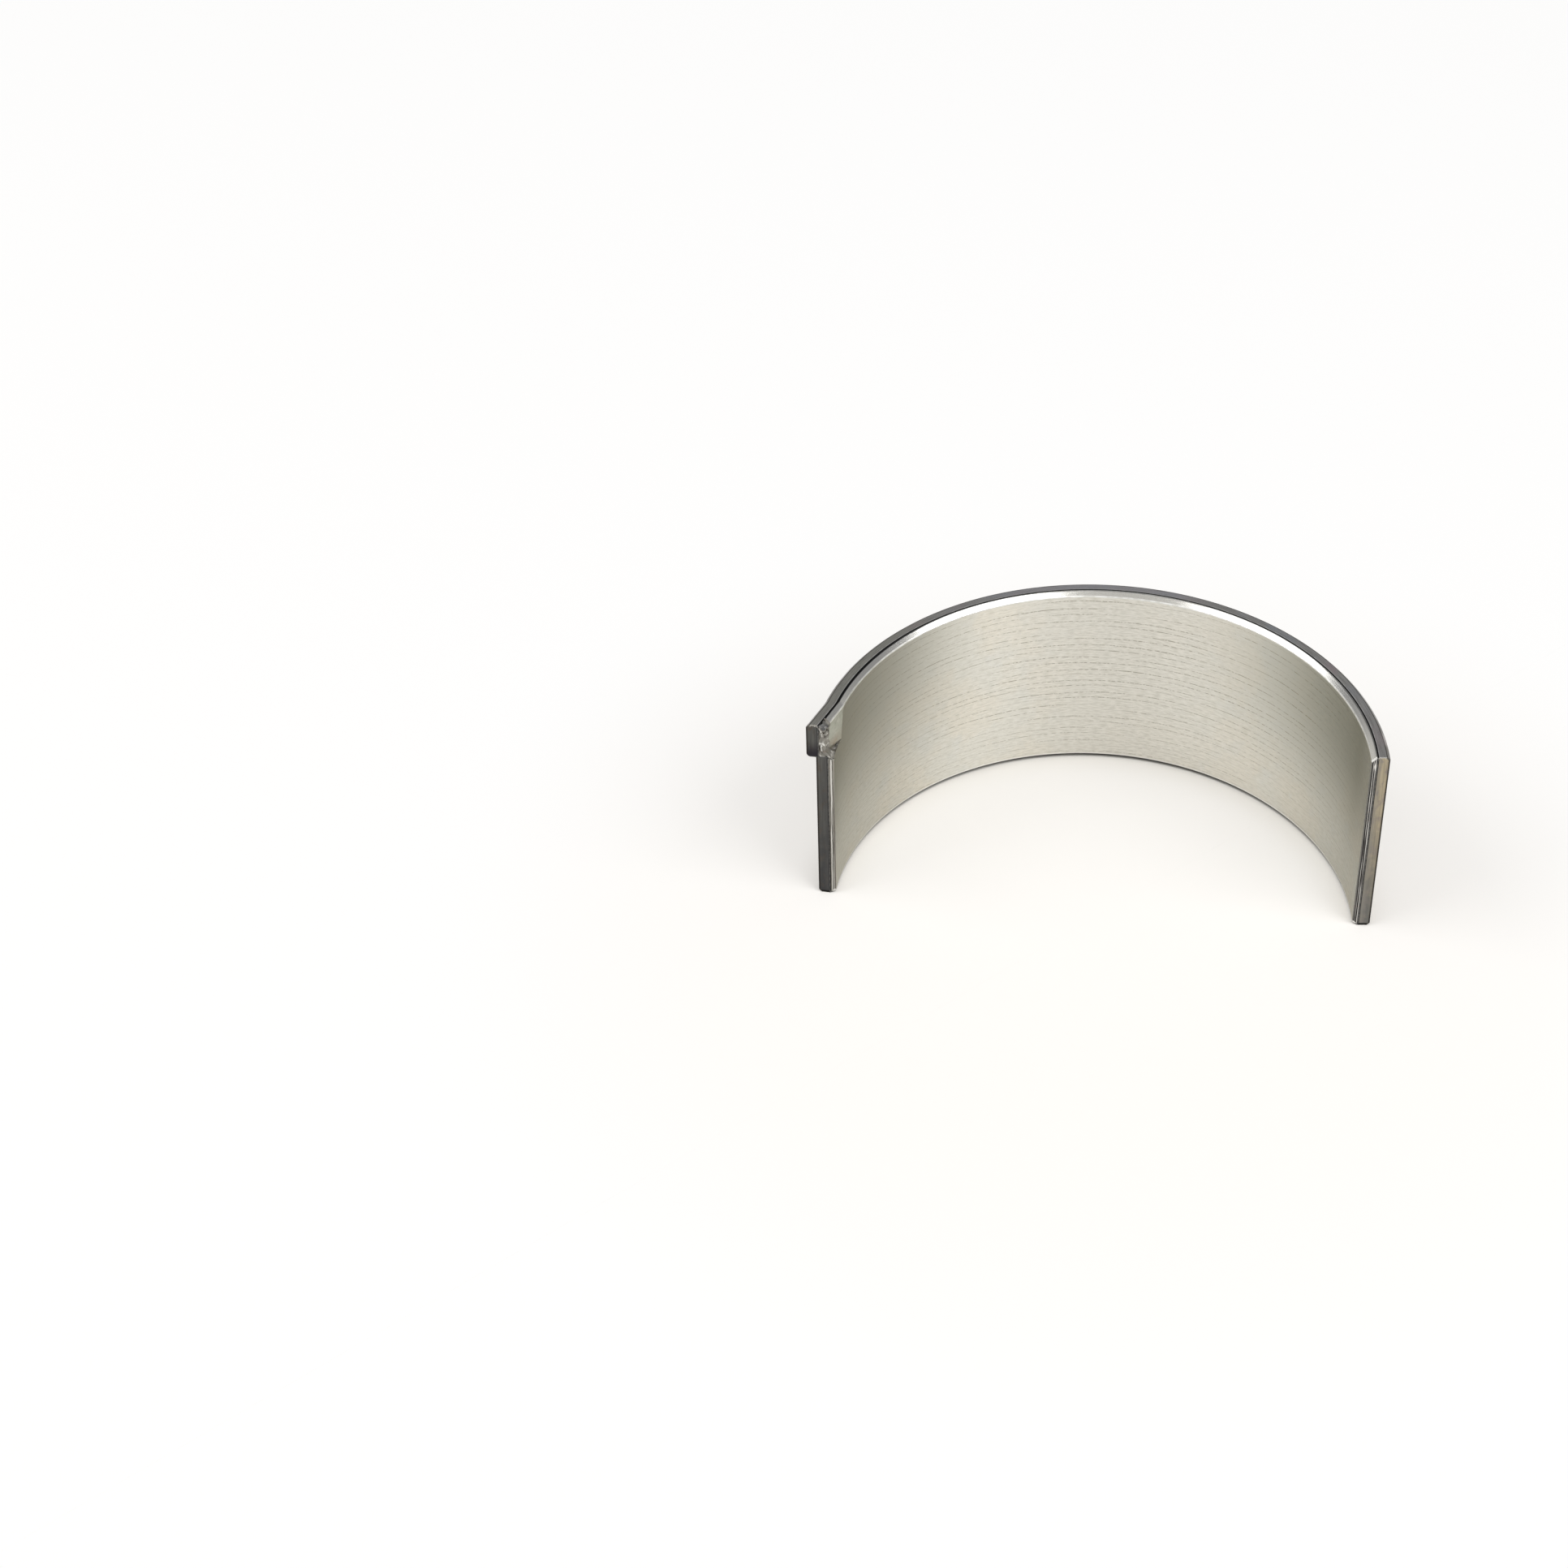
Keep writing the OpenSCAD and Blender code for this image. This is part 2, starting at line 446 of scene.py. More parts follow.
def steel_zones(sheet, at, row, z):
    """Back, ends, bond and the two joint faces of the steel, by sheet and height."""
    if sheet == "inner":
        return np.where((z < LIP_R) | (z > WIDTH - LIP_R), STEEL_END, BOND_FACE)
    if sheet == "tang_joint":
        return np.full(len(at), TANG_JOINT)
    if sheet == "plain_joint":
        return np.full(len(at), PLAIN_JOINT_FACE)
    if sheet in ("lower", "upper"):
        return np.full(len(at), STEEL_END)
    return np.where((z < TURNED_REACH) | (z > WIDTH - TURNED_REACH), STEEL_END, BACK)


def lining_zones(sheet, at, row, z):
    """Bore, ends, pocket, torn faces and the bare spot of the lining, by sheet, run, row and height."""
    if sheet in ("tang_joint", "plain_joint"):
        return np.full(len(at), TORN)
    gone = BACK_RUN - at
    end = (row <= END_ROWS - 2) | (row > UPPER_ROW) | (sheet in ("lower", "upper"))
    on_tang = row >= TANG_ROW
    kinds = np.where(end, LINING_END, BORE)
    kinds = np.where(on_tang & ~end & (gone < pocket_run(z)) & (sheet == "inner"), POCKET, kinds)
    kinds = np.where(on_tang & (gone < torn_front(z)), TORN, kinds)
    kinds = np.where((row >= WEB_ROW) & ~on_tang & (gone < POCKET_RUN_LOW), TORN, kinds)
    kinds = np.where((row >= UPPER_ROW - 2) & (gone < CHIP_REACH), TORN, kinds)
    bare = 0.62 + 0.3 * speckle(row // 2, 0, 51)
    return np.where((row >= UPPER_ROW + 2) & (gone < bare), BARE, kinds)


def add(tree, kind, settings=None, **inputs):
    """Adds a node. Inputs are named with _ for a space, or by number as in_3, and take a value or a socket."""
    made = tree.nodes.new(kind)
    for name, value in (settings or {}).items():
        setattr(made, name, value)
    for name, value in inputs.items():
        socket = made.inputs[int(name[3:]) if name.startswith("in_") else name.replace("_", " ")]
        if isinstance(value, bpy.types.NodeSocket):
            tree.links.new(value, socket)
        else:
            socket.default_value = value
    return made


def calc(tree, operation, *values):
    """One step of arithmetic."""
    made = add(tree, "ShaderNodeMath", {"operation": operation},
               **{f"in_{n}": v for n, v in enumerate(values)})
    return made.outputs[0]


def ramp(tree, value, low, high, to_low=0.0, to_high=1.0):
    """A value carried smoothly from one range to another."""
    made = add(tree, "ShaderNodeMapRange", {"interpolation_type": "SMOOTHSTEP"}, Value=value, From_Min=low,
               From_Max=high, To_Min=to_low, To_Max=to_high)
    return made.outputs[0]


def tint(tree, share, a, b):
    """Mixes two colours by a share."""
    made = add(tree, "ShaderNodeMix", {"data_type": "RGBA"}, in_0=share, in_6=a, in_7=b)
    return made.outputs[2]


def cloud(tree, vector, scale, detail=2.0):
    """Soft noise from 0 to 1."""
    return add(tree, "ShaderNodeTexNoise", Vector=vector, Scale=scale, Detail=detail).outputs[0]


def place(tree, x, y, z=0.0):
    """A vector from three values."""
    return add(tree, "ShaderNodeCombineXYZ", X=x, Y=y, Z=z).outputs[0]


def group(name, inputs, outputs):
    """A new node group: its tree, its inputs by name, and the node that takes its outputs."""
    tree = bpy.data.node_groups.new(name, "ShaderNodeTree")
    for label in inputs:
        tree.interface.new_socket(label, in_out="INPUT", socket_type="NodeSocketFloat")
    for label in outputs:
        tree.interface.new_socket(label, in_out="OUTPUT", socket_type="NodeSocketFloat")
    given = tree.nodes.new("NodeGroupInput")
    return tree, {label: given.outputs[label] for label in inputs}, tree.nodes.new("NodeGroupOutput")


def tool_lines_group():
    """Broken lines that a tool leaves: evenly spaced across, wandering and dashed along."""
    tree, g, out = group("tool_lines", ["Along", "Across", "Spacing", "Width", "Dash", "Bare"], ["Mask"])
    far = place(tree, calc(tree, "DIVIDE", g["Along"], 14.0), calc(tree, "DIVIDE", g["Across"], 2.2))
    wander = calc(tree, "MULTIPLY", cloud(tree, far, 1.0), 0.9)
    t = calc(tree, "ADD", calc(tree, "DIVIDE", g["Across"], g["Spacing"]), wander)
    whole = calc(tree, "FLOOR", t)
    odd = calc(tree, "MULTIPLY", calc(tree, "MODULO", whole, 2.0), 0.16)
    centre = calc(tree, "SUBTRACT", 0.58, odd)
    off = calc(tree, "ABSOLUTE", calc(tree, "SUBTRACT", calc(tree, "FRACT", t), centre))
    line = calc(tree, "SUBTRACT", 1.0, ramp(tree, off, 0.0, g["Width"]))
    turn = calc(tree, "MULTIPLY", whole, 7.31)
    dashes = cloud(tree, place(tree, calc(tree, "DIVIDE", g["Along"], g["Dash"]), turn), 1.0, 2.0)
    high = calc(tree, "ADD", g["Bare"], 0.14)
    dashed = calc(tree, "MULTIPLY", line, ramp(tree, dashes, g["Bare"], high, 0.2, 1.0))
    long = place(tree, calc(tree, "DIVIDE", g["Along"], 9.0), calc(tree, "MULTIPLY", whole, 3.17))
    kept = ramp(tree, cloud(tree, long, 1.0, 1.0), 0.34, 0.62, 0.2, 1.0)
    tree.links.new(calc(tree, "MULTIPLY", dashed, kept), out.inputs["Mask"])
    return tree


def hairlines_group():
    """Fine scratches: noise drawn out along and packed close across."""
    tree, g, out = group("hairlines", ["Along", "Across", "Length", "Pitch"], ["Value"])
    at = place(tree, calc(tree, "DIVIDE", g["Along"], g["Length"]),
               calc(tree, "DIVIDE", g["Across"], g["Pitch"]))
    tree.links.new(cloud(tree, at, 1.0, 3.0), out.inputs["Value"])
    return tree


def patches_group():
    """Soft stains of one size, and how much of the surface they take."""
    tree, g, out = group("patches", ["Along", "Across", "Size", "Seed", "Cover"], ["Mask"])
    at = place(tree, calc(tree, "DIVIDE", g["Along"], g["Size"]), calc(tree, "DIVIDE", g["Across"], g["Size"]),
               g["Seed"])
    low = calc(tree, "SUBTRACT", 0.62, calc(tree, "MULTIPLY", g["Cover"], 0.3))
    high = calc(tree, "ADD", low, 0.16)
    tree.links.new(ramp(tree, cloud(tree, at, 1.0, 3.0), low, high), out.inputs["Mask"])
    return tree


def worn_edges_group():
    """Where an edge is rubbed bright: on the edge, broken up along it."""
    tree, g, out = group("worn_edges", ["Edge", "Along", "Across", "Size"], ["Mask"])
    at = place(tree, calc(tree, "DIVIDE", g["Along"], g["Size"]), calc(tree, "DIVIDE", g["Across"], g["Size"]))
    tree.links.new(calc(tree, "MULTIPLY", g["Edge"], ramp(tree, cloud(tree, at, 1.0, 3.0), 0.38, 0.6)),
                   out.inputs["Mask"])
    return tree


TOOL_LINES = tool_lines_group()
HAIRLINES = hairlines_group()
PATCHES = patches_group()
WORN_EDGES = worn_edges_group()


class Finish:
    """A material in the making: its tree, its shader, and the places along, across and through the wall."""

    def __init__(self, name, roughness):
        self.material = bpy.data.materials.new(name)
        self.material.use_nodes = True
        self.tree = self.material.node_tree
        self.shader = self.tree.nodes["Principled BSDF"]
        self.shader.inputs["Metallic"].default_value = 1.0
        self.shader.inputs["Roughness"].default_value = roughness
        lay = self.attribute("lay").outputs["Vector"]
        split = add(self.tree, "ShaderNodeSeparateXYZ", Vector=lay)
        self.run, self.height, self.through = split.outputs
        off_middle = calc(self.tree, "ABSOLUTE", calc(self.tree, "SUBTRACT", self.height, WIDTH / 2))
        self.from_end = calc(self.tree, "SUBTRACT", WIDTH / 2, off_middle)

    def attribute(self, name):
        """The node that reads one of the mesh's own values."""
        return add(self.tree, "ShaderNodeAttribute", {"attribute_name": name})

    def effect(self, made, **inputs):
        """What a shared effect puts out for the given inputs."""
        return add(self.tree, "ShaderNodeGroup", {"node_tree": made}, **inputs).outputs[0]

    def into(self, name, socket):
        """Feeds one of the shader's inputs."""
        self.tree.links.new(socket, self.shader.inputs[name])

    def bump(self, height, strength, distance):
        """Fine relief by a height, over a distance in metres."""
        made = add(self.tree, "ShaderNodeBump", Height=height, Strength=strength, Distance=distance)
        self.into("Normal", made.outputs[0])


def colour(r, g, b):
    """A full colour from its three shares."""
    return (r, g, b, 1.0)


def mixed(a, b):
    """A colour halfway between two, drawn half way to grey and a little darker."""
    half = [(m + n) / 2 for m, n in zip(a, b)]
    grey = sum(half[:3]) / 3
    return colour(*[0.45 * c + 0.5 * grey for c in half[:3]])


def bored_lining():
    """Pale bored metal: broken boring lines round the bore, hairlines and faint patches.

    Painted shade darkens it towards both joint faces, more so higher up, and its edges there are dark.
    """
    f = Finish("bored_lining", 0.44)
    t = f.tree
    f.shader.inputs["Specular Tint"].default_value = colour(0.44, 0.44, 0.42)
    f.shader.inputs["Anisotropic"].default_value = 0.8
    f.shader.inputs["Anisotropic Rotation"].default_value = 0.25
    warm = f.effect(PATCHES, Along=f.run, Across=f.height, Size=6.5, Seed=1.0, Cover=0.6)
    cool = f.effect(PATCHES, Along=f.run, Across=f.height, Size=2.6, Seed=5.0, Cover=0.35)
    base = tint(t, warm, colour(0.755, 0.74, 0.68), colour(0.775, 0.74, 0.66))
    base = tint(t, calc(t, "MULTIPLY", cool, 0.3), base, colour(0.69, 0.70, 0.68))
    packed = calc(t, "MULTIPLY", f.height, 1.7)
    flecks = f.effect(PATCHES, Along=f.run, Across=packed, Size=0.3, Seed=15.0, Cover=0.25)
    base = tint(t, calc(t, "MULTIPLY", flecks, 0.4), base, colour(0.86, 0.85, 0.82))
    off_crown = calc(t, "ABSOLUTE", calc(t, "SUBTRACT", f.run, 0.47 * BACK_RUN))
    # Painted light: the bore is paler around the crown.
    base = tint(t, ramp(t, off_crown, 14.0, 3.0, 0.0, 0.8), base, colour(0.85, 0.83, 0.765))
    # Painted shade: darker olive towards both joint faces, more so higher up.
    plain_end = calc(t, "MULTIPLY", ramp(t, f.run, 10.0, 30.0, 1.0, 0.0), ramp(t, f.run, 0.5, 5.0, 0.35, 1.0))
    tang_end = ramp(t, f.run, BACK_RUN - 26.0, BACK_RUN - 8.0, 0.0, 0.76)
    painted_end_shade = calc(t, "MULTIPLY", calc(t, "MAXIMUM", plain_end, tang_end), ramp(t, f.height, 2.0, 15.0, 0.2, 0.87))
    base = tint(t, painted_end_shade, base, colour(0.36, 0.36, 0.31))
    hair = f.effect(HAIRLINES, Along=f.run, Across=f.height, Length=0.7, Pitch=0.14)
    base = tint(t, ramp(t, hair, 0.35, 0.7, 0.0, 0.42), base, colour(0.55, 0.535, 0.46))
    lines = f.effect(TOOL_LINES, Along=f.run, Across=f.height, Spacing=0.665, Width=0.07, Dash=0.3, Bare=0.42)
    lines = calc(t, "MULTIPLY", lines, ramp(t, f.height, 1.0, 8.0, 0.5, 0.9))
    lines = calc(t, "MULTIPLY", lines, ramp(t, off_crown, 16.0, 32.0, 1.0, 0.5))
    base = tint(t, lines, base, colour(0.17, 0.135, 0.075))
    # Painted highlight: a pale line just above the lower chamfer.
    base = tint(t, ramp(t, f.height, 0.58, 0.46, 0.0, 0.7), base, colour(0.92, 0.91, 0.88))
    base = tint(t, ramp(t, f.run, 0.09, 0.04, 0.0, 0.8), base, colour(0.09, 0.09, 0.085))
    sheared = calc(t, "MULTIPLY", ramp(t, f.run, BACK_RUN - 0.09, BACK_RUN - 0.04),
                   ramp(t, f.height, 15.0, 7.0, 0.4, 0.85))
    f.into("Base Color", tint(t, sheared, base, colour(0.1, 0.085, 0.075)))
    f.into("Roughness", ramp(t, hair, 0.25, 0.75, 0.42, 0.5))
    f.bump(calc(t, "SUBTRACT", hair, lines), 0.2, 0.00002)
    return f.material


def pressed_pocket():
    """Floor of the pocket: pressed smooth, mottled greenish grey, browner low down."""
    f = Finish("pressed_pocket", 0.36)
    t = f.tree
    blot = f.effect(PATCHES, Along=f.run, Across=f.height, Size=0.9, Seed=7.0, Cover=0.5)
    hair = f.effect(HAIRLINES, Along=f.run, Across=f.height, Length=1.2, Pitch=0.14)
    low = calc(t, "MULTIPLY", ramp(t, f.height, 16.6, 15.2), ramp(t, blot, 0.0, 1.0, 0.5, 1.0))
    base = tint(t, ramp(t, hair, 0.3, 0.7), colour(0.385, 0.4, 0.335), colour(0.455, 0.465, 0.405))
    base = tint(t, calc(t, "MULTIPLY", blot, 0.7), base, colour(0.53, 0.535, 0.475))
    dull = f.effect(PATCHES, Along=f.run, Across=f.height, Size=0.45, Seed=17.0, Cover=0.4)
    base = tint(t, calc(t, "MULTIPLY", dull, 0.5), base, colour(0.29, 0.29, 0.235))
    base = tint(t, low, base, colour(0.31, 0.265, 0.2))
    f.into("Base Color", base)
    f.into("Roughness", ramp(t, hair, 0.25, 0.75, 0.33, 0.42))
    f.bump(hair, 0.15, 0.00002)
    return f.material


def turned_lining_end():
    """Bright turned chamfer and edge of the lining, with painted shade at the bond and under the lower end."""
    f = Finish("turned_lining_end", 0.16)
    t = f.tree
    hair = f.effect(HAIRLINES, Along=f.run, Across=f.height, Length=4.0, Pitch=0.08)
    base = tint(t, ramp(t, hair, 0.3, 0.7, 0.0, 0.5), colour(0.78, 0.77, 0.735), colour(0.62, 0.615, 0.58))
    worn = f.effect(WORN_EDGES, Edge=f.attribute("edge").outputs["Fac"], Along=f.run, Across=f.height, Size=0.6)
    base = tint(t, worn, base, colour(0.88, 0.88, 0.86))
    # Painted contact shade: dark low on the lower chamfer, where it meets the floor.
    base = tint(t, ramp(t, f.height, 0.26, 0.16, 0.0, 0.9), base, colour(0.05, 0.05, 0.045))
    # Painted shade in the groove at the bond: over the end flat, more towards the tang, and on the bond side.
    painted_groove_shade = calc(t, "MULTIPLY", ramp(t, f.from_end, 0.08, 0.03),
                   ramp(t, f.run, BACK_RUN - 34, BACK_RUN - 8, 0.55, 1.0))
    bond = calc(t, "MAXIMUM", ramp(t, f.through, 0.75, 0.95), painted_groove_shade)
    f.into("Base Color", tint(t, bond, base, colour(0.02, 0.02, 0.019)))
    soft = ramp(t, f.from_end, BORE_CHAMFER - 0.1, BORE_CHAMFER)
    f.into("Roughness", calc(t, "ADD", ramp(t, hair, 0.25, 0.75, 0.17, 0.27), calc(t, "MULTIPLY", soft, 0.25)))
    f.bump(hair, 0.15, 0.00002)
    return f.material


def torn_lining():
    """Torn lining with smears: dull grey with rusty spots, bright crests, dark tears and a painted shadow at
    the pocket edge.
    """
    f = Finish("torn_lining", 0.45)
    t = f.tree
    tear = f.attribute("tear").outputs["Fac"]
    hair = f.effect(HAIRLINES, Along=f.height, Across=f.through, Length=1.2, Pitch=0.12)
    at_tang = ramp(t, f.run, BACK_RUN / 3, BACK_RUN / 2)
    dull = tint(t, at_tang, colour(0.09, 0.086, 0.083), colour(0.2, 0.192, 0.172))
    pale = tint(t, at_tang, colour(0.18, 0.172, 0.168), colour(0.36, 0.345, 0.31))
    base = tint(t, ramp(t, hair, 0.3, 0.7), dull, pale)
    rust = f.effect(PATCHES, Along=f.run, Across=f.height, Size=0.45, Seed=4.0, Cover=0.15)
    base = tint(t, calc(t, "MULTIPLY", rust, 0.7), base, colour(0.16, 0.09, 0.065))
    base = tint(t, ramp(t, tear, -0.3, -0.8), base, colour(0.74, 0.73, 0.69))
    base = tint(t, ramp(t, tear, 0.3, 0.7), base, colour(0.05, 0.04, 0.035))
    # Painted shadow: a black line on the web just above the flank, behind the torn front.
    under = calc(t, "MULTIPLY", ramp(t, f.run, BACK_RUN - 1.5, BACK_RUN - 1.9),
                 calc(t, "MULTIPLY", ramp(t, f.height, FLANK_Z + 0.02, FLANK_Z + 0.07), at_tang))
    f.into("Base Color", tint(t, under, base, colour(0.02, 0.02, 0.02)))
    f.into("Roughness", ramp(t, tear, -0.6, 0.6, 0.42, 0.62))
    grit = f.effect(HAIRLINES, Along=f.run, Across=f.height, Length=0.17, Pitch=0.13)
    f.bump(calc(t, "ADD", hair, calc(t, "MULTIPLY", grit, at_tang)), 0.5, 0.00005)
    return f.material


def bare_spot():
    """Dull dark metal where the lining has broken away."""
    f = Finish("bare_spot", 0.55)
    t = f.tree
    blot = f.effect(PATCHES, Along=f.run, Across=f.height, Size=0.35, Seed=2.0, Cover=0.7)
    f.into("Base Color", tint(t, blot, colour(0.13, 0.13, 0.13), colour(0.22, 0.215, 0.205)))
    f.into("Roughness", ramp(t, blot, 0.0, 1.0, 0.6, 0.45))
    f.bump(blot, 0.4, 0.00003)
    return f.material


def rolled_back():
    """Dull taupe rolled steel: fine mottling, faint stains, axial scratches and dark specks.

    Towards the tang it is streaked along its width with dark bands and a few pale rubs. It is dark on the
    outside of the tang, and painted shade darkens it beside both joint faces.
    """
    f = Finish("rolled_back", 0.4)
    t = f.tree
    drawn = calc(t, "MULTIPLY", f.height, 0.55)
    mottle = f.effect(PATCHES, Along=f.run, Across=drawn, Size=0.8, Seed=3.0, Cover=0.75)
    green = f.effect(PATCHES, Along=f.run, Across=f.height, Size=5.0, Seed=6.0, Cover=0.55)
    pink = f.effect(PATCHES, Along=f.run, Across=f.height, Size=3.4, Seed=8.0, Cover=0.45)
    long = calc(t, "MULTIPLY", f.height, 0.35)
    speck = f.effect(PATCHES, Along=f.run, Across=long, Size=0.32, Seed=11.0, Cover=0.02)
    base = tint(t, mottle, colour(0.42, 0.38, 0.32), colour(0.49, 0.445, 0.375))
    base = tint(t, calc(t, "MULTIPLY", green, 0.6), base, colour(0.41, 0.425, 0.36))
    base = tint(t, calc(t, "MULTIPLY", pink, 0.55), base, colour(0.49, 0.415, 0.385))
    hair = f.effect(HAIRLINES, Along=f.height, Across=f.run, Length=4.0, Pitch=0.16)
    base = tint(t, ramp(t, hair, 0.35, 0.7, 0.0, 0.4), base, colour(0.28, 0.25, 0.215))
    to_tang = ramp(t, f.run, BACK_RUN - 15.0, BACK_RUN - 4.0)
    band = f.effect(HAIRLINES, Along=f.height, Across=f.run, Length=26.0, Pitch=2.2)
    band = calc(t, "MULTIPLY", ramp(t, band, 0.42, 0.58, 0.25, 0.85), to_tang)
    base = tint(t, band, base, colour(0.16, 0.165, 0.17))
    rub = f.effect(HAIRLINES, Along=calc(t, "ADD", f.height, 40.0), Across=f.run, Length=9.0, Pitch=0.6)
    rub = calc(t, "MULTIPLY", ramp(t, rub, 0.56, 0.68, 0.0, 0.7), to_tang)
    base = tint(t, rub, base, colour(0.55, 0.54, 0.5))
    lines = f.effect(TOOL_LINES, Along=f.height, Across=f.run, Spacing=1.7, Width=0.05, Dash=4.0, Bare=0.5)
    base = tint(t, calc(t, "MULTIPLY", lines, 0.5), base, colour(0.17, 0.15, 0.13))
    base = tint(t, calc(t, "MULTIPLY", speck, 0.6), base, colour(0.2, 0.175, 0.15))
    worn = f.effect(WORN_EDGES, Edge=f.attribute("edge").outputs["Fac"], Along=f.run, Across=f.height, Size=1.2)
    base = tint(t, calc(t, "MULTIPLY", worn, 0.6), base, colour(0.6, 0.58, 0.55))
    flared = ramp(t, f.run, BACK_RUN - 3.0, BACK_RUN - 1.6, 0.0, 0.7)
    flared = calc(t, "MULTIPLY", flared, ramp(t, f.height, FLANK_Z - 0.05, FLANK_Z + 0.1))
    flared = calc(t, "MULTIPLY", flared, ramp(t, mottle, 0.0, 1.0, 1.0, 0.75))
    base = tint(t, flared, base, colour(0.1, 0.09, 0.08))
    # Painted shade: a dark outline beside both joint faces.
    from_joint = calc(t, "MINIMUM", f.run, calc(t, "SUBTRACT", BACK_RUN, f.run))
    f.into("Base Color", tint(t, ramp(t, from_joint, 0.12, 0.05), base, colour(0.03, 0.027, 0.025)))
    f.into("Roughness", ramp(t, hair, 0.25, 0.75, 0.32, 0.48))
    f.bump(hair, 0.2, 0.00003)
    return f.material


def turned_steel_end():
    """Turned ends of the steel: grey, faintly stained, with a painted highlight on its lip and painted shade at
    the bond, and a dark rim.

    The stains are blue and pink away from the tang and olive near it, and the crown is paler.
    """
    f = Finish("turned_steel_end", 0.3)
    t = f.tree
    hair = f.effect(HAIRLINES, Along=f.run, Across=f.through, Length=2.0, Pitch=0.12)
    blue = f.effect(PATCHES, Along=f.run, Across=f.through, Size=7.0, Seed=4.0, Cover=0.5)
    pink = f.effect(PATCHES, Along=f.run, Across=f.through, Size=5.0, Seed=9.0, Cover=0.4)
    fleck = f.effect(PATCHES, Along=f.run, Across=f.through, Size=0.5, Seed=12.0, Cover=0.55)
    base = tint(t, ramp(t, hair, 0.3, 0.7), colour(0.50, 0.49, 0.47), colour(0.60, 0.59, 0.565))
    blue = calc(t, "MULTIPLY", blue, ramp(t, f.run, BACK_RUN - 10, BACK_RUN - 22, 0.1, 0.75))
    base = tint(t, blue, base, colour(0.52, 0.56, 0.62))
    base = tint(t, calc(t, "MULTIPLY", pink, 0.7), base, colour(0.62, 0.53, 0.54))
    base = tint(t, ramp(t, f.run, BACK_RUN - 22, BACK_RUN - 12, 0.0, 0.8), base, colour(0.51, 0.5, 0.44))
    off_crown = calc(t, "ABSOLUTE", calc(t, "SUBTRACT", f.run, 0.52 * BACK_RUN))
    base = tint(t, ramp(t, off_crown, 12.0, 5.0, 0.0, 0.6), base, colour(0.68, 0.66, 0.69))
    # Painted highlight in flecks along the lip at the bond.
    bright = calc(t, "MULTIPLY", ramp(t, f.through, 0.15, 0.1), ramp(t, fleck, 0.0, 1.0, 0.5, 1.0))
    base = tint(t, bright, base, colour(0.93, 0.92, 0.89))
    rim = calc(t, "MULTIPLY", ramp(t, f.through, 0.9, 0.97), ramp(t, pink, 0.2, 0.8, 0.95, 0.6))
    base = tint(t, rim, base, colour(0.12, 0.11, 0.095))
    # Painted shade in the groove at the bond.
    bond = ramp(t, f.through, 0.035, 0.015)
    f.into("Base Color", tint(t, bond, base, colour(0.015, 0.015, 0.015)))
    f.into("Roughness", ramp(t, hair, 0.25, 0.75, 0.24, 0.38))
    f.bump(hair, 0.15, 0.00002)
    return f.material


def sheared_joint(name, low, high, stain, seed, dark_above=None):
    """Joint face of the steel: dull, toned from foot to top, streaked and stained, with painted shade along its
    borders.

    A few bright flecks lie along its upper edge. Where a height is given, it is darkest just above that.
    """
    f = Finish(name, 0.5)
    t = f.tree
    hair = f.effect(HAIRLINES, Along=f.height, Across=f.through, Length=3.0, Pitch=0.12)
    blot = f.effect(PATCHES, Along=f.through, Across=f.height, Size=1.6, Seed=seed, Cover=0.6)
    wide = calc(t, "MULTIPLY", f.through, 1.5)
    spot = f.effect(PATCHES, Along=wide, Across=f.height, Size=1.1, Seed=seed + 3, Cover=0.45)
    climb = calc(t, "ADD", f.height, calc(t, "MULTIPLY", blot, 3.0))
    climb = calc(t, "ADD", climb, calc(t, "MULTIPLY", f.through, 3.0))
    base = tint(t, ramp(t, climb, 1.0, WIDTH + 2), low, high)
    base = tint(t, ramp(t, hair, 0.3, 0.75, 0.0, 0.4), base, low)
    base = tint(t, calc(t, "MULTIPLY", spot, ramp(t, f.height, 4.0, 16.0, 0.3, 0.75)), base, stain)
    base = tint(t, ramp(t, f.through, 0.6, 0.15, 0.0, 0.55), base, mixed(low, high))
    if dark_above is not None:
        above = calc(t, "MULTIPLY", ramp(t, f.height, dark_above, dark_above + 0.05),
                     ramp(t, f.height, dark_above + 1.9, dark_above + 0.2))
        base = tint(t, above, base, colour(0.036, 0.033, 0.039))
    # Painted shade: a dark outline along the outer edge.
    outer = ramp(t, f.through, 0.87, 0.96)
    base = tint(t, calc(t, "MULTIPLY", outer, 0.9), base, colour(0.026, 0.022, 0.018))
    # Painted shade in the groove at the bond.
    bond = ramp(t, f.through, 0.03, 0.09, 1.0, 0.0)
    base = tint(t, bond, base, colour(0.02, 0.02, 0.02))
    # Painted contact shadow along the foot.
    foot = ramp(t, f.height, 0.3, 0.2)
    base = tint(t, foot, base, colour(0.015, 0.015, 0.015))
    top = ramp(t, f.height, WIDTH - 0.22, WIDTH - 0.12)
    worn = f.effect(WORN_EDGES, Edge=top, Along=f.through, Across=f.height, Size=0.2)
    f.into("Base Color", tint(t, worn, base, colour(0.55, 0.53, 0.48)))
    f.into("Roughness", ramp(t, hair, 0.25, 0.75, 0.42, 0.58))
    f.bump(hair, 0.3, 0.00003)
    return f.material


steel = wall_block("steel_back_shell", RUN, *steel_lines(), ACROSS_STEEL, no_recess, steel_zones)
lining = wall_block("bored_lining_shell", RUN, *lining_lines(), ACROSS_LINING, torn_recess, lining_zones)

